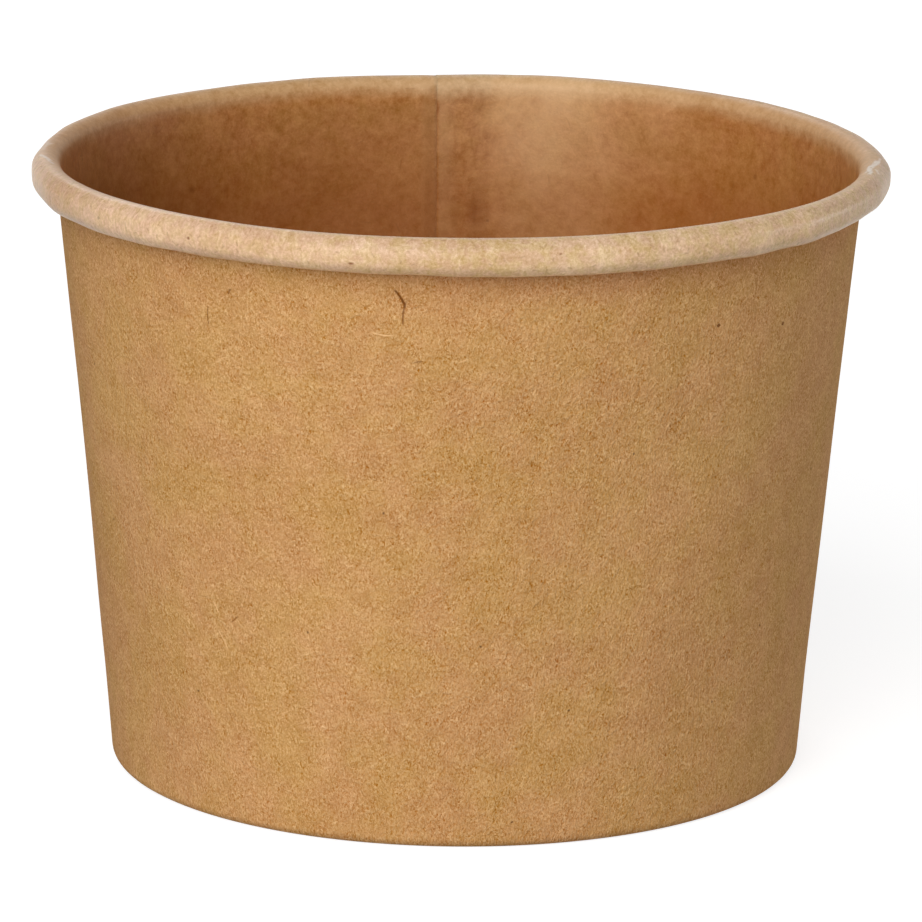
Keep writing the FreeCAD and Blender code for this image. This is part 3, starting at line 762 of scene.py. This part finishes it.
def coated_kraft(name, base, roll_from=None, sheen_patches=(), sheen_and_shade_patches=(), glints=(), stains=()):
    """Kraft board under a thin film: wet-looking and cloudy, and where it is rolled, stretched pale and
    partly painted sheen; given a roll, with painted highlights, glints, sheen and shade on the roll and
    beside the lap.
    """
    s = Shader(name)
    flat = s.add("ShaderNodeUVMap", uv_map="blank").outputs[0]
    across, up = s.add("ShaderNodeSeparateXYZ", {0: flat}).outputs[:2]

    cloud = s.noise(flat, 0.06, 1.0)
    blotch = s.noise(s.shift(flat, 50, 90), 0.22, 3.0, 0.62, 0.5)
    clump = s.noise(flat, 0.9, 2.0, 0.65)
    grain = s.noise(flat, 3.2, 1.0, 0.7)
    felt = [s.squiggles(flat, 1.4, 0.085, 0.5, 11), s.squiggles(flat, 1.7, 0.085, 2.0, 12)]
    hue = s.range(s.noise(s.shift(flat, 11, 44), 0.16, 3.0, 0.7), 0.3, 0.7)
    yellow, pink = hues(base, 0.08)
    tone = s.gather(1.0, (0.25, cloud, 0.5), (0.55, blotch, 0.5), (0.74, clump, 0.5), (0.3, grain, 0.5),
                    *((0.08, line, 0.2) for line in felt))
    colour = s.tint(s.mix(hue, yellow, pink), tone, paler(base, 0.1))
    relief = s.gather(0.0, (0.5, grain, 0.5), (1.0, clump, 0.5))

    satin = SATIN
    if roll_from:
        fields = across, up, cloud, blotch, clump, grain, felt, tone
        colour, relief, rolled = rolled_film(s, flat, fields, colour, relief, roll_from, sheen_and_shade_patches, glints)
        colour = film_at_lap(s, flat, fields, colour, base, roll_from, sheen_patches)
        satin = s.range(rolled, 0, 1, SATIN, SATIN_ROLLED, soft=False)
    for x, y, wide, tall, share in stains:
        mask = s.times(s.patch(flat, x, y, wide, tall), share)
        colour = s.mix(mask, colour, times_each(base, 0.5, 0.32, 0.1))
    for seed, (cell, length, width, share, keep) in enumerate(((5.0, 1.4, 0.16, 0.16, 0.3),
                                                               (9.0, 0.35, 0.3, 0.4, 0.14))):
        mask, _ = s.strokes(flat, cell, length, width, 0.8, seed + 31, keep)
        colour = s.mix(s.times(mask, share), colour, times_each(base, 0.35, 0.28, 0.25))

    bump = s.add("ShaderNodeBump", {"Height": relief, "Strength": 0.45, "Distance": 0.00007})
    cockled = s.noise(s.shift(flat, 7, 3), 0.14, 1.0)
    bump = s.add("ShaderNodeBump", {"Height": cockled, "Strength": 0.35, "Distance": 0.0006,
                                    "Normal": bump.outputs[0]})
    return s.finish(Base_Color=colour, Roughness=s.gather(satin, (0.2, grain, 0.5), (0.15, clump, 0.5)),
                    Normal=bump.outputs[0], IOR=KRAFT_IOR, Specular_IOR_Level=KRAFT_SPECULAR)


def board_edge(name):
    """The cut edge of the board, in fine layers."""
    s = Shader(name)
    flat = s.add("ShaderNodeUVMap", uv_map="blank").outputs[0]
    layers = s.noise(s.vector("MULTIPLY", flat, (0.8, 9.0, 1.0)), 1.0, 3.0, 0.6)
    fibre = s.noise(flat, 3.0, 3.0, 0.6)
    colour = s.mix(s.range(layers, 0.3, 0.7), linear(122, 82, 46), linear(168, 122, 76))
    colour = s.mix(s.range(fibre, 0.5, 0.8, 0, 0.5), colour, linear(96, 60, 32))
    bump = s.add("ShaderNodeBump", {"Height": layers, "Strength": 0.5, "Distance": 0.00005})
    return s.finish(Base_Color=colour, Roughness=s.range(fibre, 0, 1, 0.8, 0.97), Normal=bump.outputs[0])


# ---------------------------------------------------------------- the two boards

def on_blank(azimuth, height, inside=False):
    """Where a place on the wall, its outside or its inside, lies on the blank's map."""
    seen = SEEN_INSIDE if inside else SEEN_OUTSIDE
    path, _ = wall_section(WALL_BOARD, seen)
    lengths = path_lengths(path)
    start = sum(list(seen.values())[:list(seen).index("wall")])
    rows = slice(start, start + seen["wall"] + 1)
    up = float(np.interp(height, path[rows, 1], lengths[rows]))
    if inside:
        return math.radians((LAP_START + LAP_ANGLE - azimuth) % 360) * BLANK_RADIUS, up
    return math.radians((azimuth - LAP_START) % 360) * BLANK_RADIUS, OUTER_MAP + up


inside_path, _ = wall_section(WALL_BOARD, SEEN_INSIDE)
crown_at = sum(list(SEEN_INSIDE.values())[:list(SEEN_INSIDE).index("crown")])
roll_from = float(path_lengths(inside_path)[crown_at])

# inside: width, height and strength of each stain, and of each patch of painted sheen
stains = [(*on_blank(azimuth, height, True), wide, tall, share) for azimuth, height, wide, tall, share in (
    (87.6, 50.4, 2.0, 4.4, 0.36), (87.8, 50.2, 0.5, 2.6, 0.4), (87.3, 62.8, 1.8, 2.4, 0.14),
    (90.6, 50.0, 0.9, 3.0, 0.2), (135.6, 55.0, 0.7, 0.6, 0.6), (39.0, 57.6, 0.4, 0.5, 0.6))]
sheen_patches = [(on_blank(azimuth, height, True), wide, tall, share) for azimuth, height, wide, tall, share in (
    (78.5, 61.5, 10.0, 9.0, 0.30), (68.0, 61.5, 18.0, 10.0, 0.22), (76.0, 54.0, 12.0, 16.0, 0.2))]

# specks on the roll: azimuth, distance past the crown's start, width, height and strength
stains += [(on_blank(azimuth, 60.0, True)[0], roll_from + rise, *rest) for azimuth, rise, *rest in (
    (-127.3, 5.1, 0.26, 0.26, 0.85), (-103.9, 5.8, 0.4, 0.22, 0.85), (-95.9, 2.9, 0.4, 0.2, 0.4),
    (-92.1, 2.9, 0.4, 0.2, 0.4), (-77.1, 4.6, 0.2, 0.2, 0.6))]

# on the roll: azimuth, width and strength of each patch of painted sheen and shade; and painted glints at
# its two ends, with their distance past the crown's start, angle, length, width, bow and strength
sheen_and_shade_patches = [(on_blank(azimuth, 60.0, True)[0], wide, share) for azimuth, wide, share in (
    (-112, 12, 0.13), (-137, 16, 0.3), (-88, 8, -0.06), (-71.4, 2.6, 0.14), (-61.5, 2.4, 0.10),
    (-47, 2.2, 0.08), (-22, 11, -0.06), (187, 10, 0.22), (2, 9, -0.26))]
glints = [(on_blank(azimuth, 60.0, True)[0], *rest) for azimuth, *rest in (
    (-173.6, 2.5, 18, 4.4, 0.4, 0.0, 1.0), (-171.0, 2.2, 6, 3.4, 0.3, 0.1, 0.8),
    (179.0, 2.7, -12, 4.0, 0.7, 0.1, 0.4), (175.5, 3.0, 14, 3.0, 0.6, 0.0, 0.35),
    (-7.4, 2.2, -5, 7.0, 0.5, 0.0, 0.9), (-6.0, 2.5, -16, 4.0, 0.35, 0.1, 1.0),
    (-8.8, 1.9, 9, 4.2, 0.35, -0.1, 1.0), (-3.4, 2.7, -5, 3.4, 0.3, 0.0, 0.6),
    (-10.8, 2.3, 10, 3.4, 0.45, 0.1, 0.9), (-9.8, 3.0, 34, 1.5, 0.35, 0.0, 0.7))]

# outside: single hairs, fibres and specks, each with its angle, length, width, bow and strength
marks = [(*on_blank(azimuth, height), *rest) for azimuth, height, *rest in (
    (-98.02, 59.0, -58, 2.2, 0.22, 0.12, 0.85, "dark"),
    (-97.62, 57.35, 83, 3.0, 0.19, 0.07, 0.68, "dark"),
    (-97.55, 58.35, -72, 1.3, 0.22, 0.1, 0.5, "dark"),
    (-98.0, 60.2, 90, 1.1, 0.13, 0.0, 0.6, "light"),
    (-100.6, 54.95, -6, 2.5, 0.13, -0.08, 0.95, "light"),
    (-89.3, 52.5, 22, 1.1, 0.12, 0.0, 0.7, "light"),
    (-79.3, 49.1, 70, 0.9, 0.15, 0.0, 0.8, "light"),
    (-95.6, 52.3, 15, 1.0, 0.14, 0.1, 0.5, "dark"),
    (-127.6, 55.0, 88, 2.4, 0.10, 0.1, 0.7, "dark"),
    (-123.6, 57.9, 60, 0.8, 0.2, 0.1, 0.6, "dark"),
    (-129.5, 23.6, -62, 1.5, 0.15, 0.1, 0.95, "light"),
    (-128.4, 20.2, -58, 2.6, 0.13, 0.06, 0.8, "light"),
    (-126.0, 22.7, 40, 1.3, 0.12, 0.0, 0.6, "dark"),
    (-50.9, 54.3, 30, 0.5, 0.34, 0.0, 0.9, "dark"),
    (-37.4, 53.0, 70, 0.45, 0.3, 0.0, 0.9, "dark"),
)]
coated = coated_kraft("coated_kraft", COATED, roll_from, sheen_patches, sheen_and_shade_patches, glints, stains)
bare = bare_kraft("bare_kraft", BARE, marks, on_blank(-90, CUP_HEIGHT - BEAD_HEIGHT)[1])
edge = board_edge("board_edge")

wall = make_wall([coated, bare, edge])
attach(wall, "root")
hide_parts("side_wall")
bottom = make_bottom([coated_kraft("coated_bottom", COATED), bare_kraft("bare_bottom", BARE), edge])
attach(bottom, "root")
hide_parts("bottom_disc")


# ---------------------------------------------------------------- floor, light and camera

FLOOR_GREY, FLOOR_GLOW, FLOOR_REACH = (0.42, 0.42, 0.42), 0.82, 4.0
WORLD_LIGHT = 0.08  # how strongly the white world lights the object


def white_share(tree, low):
    """One for what the camera, reflections and refractions see, and a lower number for other light."""
    path = tree.nodes.new("ShaderNodeLightPath")
    kinds = [path.outputs[f"Is {kind} Ray"] for kind in ("Camera", "Glossy", "Transmission")]
    seen = kinds[0]
    for kind in kinds[1:]:
        most = tree.nodes.new("ShaderNodeMath")
        most.operation = "MAXIMUM"
        tree.links.new(seen, most.inputs[0])
        tree.links.new(kind, most.inputs[1])
        seen = most.outputs[0]
    share = tree.nodes.new("ShaderNodeMapRange")
    tree.links.new(seen, share.inputs["Value"])
    share.inputs["To Min"].default_value = low
    return share.outputs[0], share.inputs["To Max"]


def make_floor():
    s = Shader("floor")
    diffuse = s.add("ShaderNodeBsdfDiffuse", {"Color": (*FLOOR_GREY, 1)})
    amount, top = white_share(s.tree, 0.0)
    place = s.add("ShaderNodeTexCoord").outputs["Object"]
    away = s.add("ShaderNodeVectorMath", {0: place}, operation="LENGTH").outputs["Value"]
    s.tree.links.new(s.range(away, 0.12, 0.6, FLOOR_GLOW, 1.0), top)
    glow = s.add("ShaderNodeEmission", {"Strength": amount})
    both = s.add("ShaderNodeAddShader", {0: diffuse.outputs[0], 1: glow.outputs[0]})
    s.tree.links.new(both.outputs[0], s.output.inputs["Surface"])
    mesh = bpy.data.meshes.new("floor")
    corners = [(x * FLOOR_REACH, y * FLOOR_REACH, 0) for x, y in ((-1, -1), (1, -1), (1, 1), (-1, 1))]
    mesh.from_pydata(corners, [], [(0, 1, 2, 3)])
    mesh.materials.append(s.material)
    floor = bpy.data.objects.new("floor", mesh)
    bpy.context.scene.collection.objects.link(floor)


def make_world():
    world = bpy.data.worlds.new("studio")
    bpy.context.scene.world = world
    world.use_nodes = True
    tree = world.node_tree
    tree.nodes.clear()
    amount, top = white_share(tree, WORLD_LIGHT)
    top.default_value = 1.0
    background = tree.nodes.new("ShaderNodeBackground")
    background.inputs["Color"].default_value = (1, 1, 1, 1)
    tree.links.new(amount, background.inputs["Strength"])
    output = tree.nodes.new("ShaderNodeOutputWorld")
    tree.links.new(background.outputs[0], output.inputs["Surface"])


def softbox(name, place, aim, size, power):
    light = bpy.data.lights.new(name, "AREA")
    light.shape = "RECTANGLE"
    light.size, light.size_y = size
    light.energy = power
    lamp = bpy.data.objects.new(name, light)
    lamp.location = place
    lamp.rotation_euler = (Vector(aim) - Vector(place)).to_track_quat("-Z", "Y").to_euler()
    bpy.context.scene.collection.objects.link(lamp)


def make_camera():
    """A long lens a little above the cup, level but for a small roll."""
    distance, elevation, roll = 737.97 * MM, math.radians(13.986), math.radians(0.589)
    side, height, lens = 0.388 * MM, 31.84 * MM, 270.8
    place = Vector((0, -math.cos(elevation), math.sin(elevation))) * distance + Vector((0, 0, height))
    ahead = (Vector((side, 0, height)) - place).normalized()
    right = ahead.cross(Vector((0, 0, 1))).normalized()
    up = right.cross(ahead)
    turned = right * math.cos(roll) + up * math.sin(roll)
    raised = up * math.cos(roll) - right * math.sin(roll)
    data = bpy.data.cameras.new("camera")
    data.lens, data.sensor_width = lens, 36.0
    camera = bpy.data.objects.new("camera", data)
    camera.matrix_world = Matrix.Translation(place) @ Matrix((turned, raised, -ahead)).transposed().to_4x4()
    bpy.context.scene.collection.objects.link(camera)
    bpy.context.scene.camera = camera


make_floor()
make_world()
softbox("key", (-0.41, -1.18, 0.76), (0, 0, 0.03), (1.0, 1.7), 24.1)
softbox("fill", (1.15, 0.25, 0.10), (0, 0, 0.04), (1.0, 0.25), 4.0)
softbox("back", (-0.35, 1.1, 0.85), (0, 0, 0.05), (0.5, 0.3), 2.3)
make_camera()
bpy.context.scene.view_settings.view_transform = "Standard"
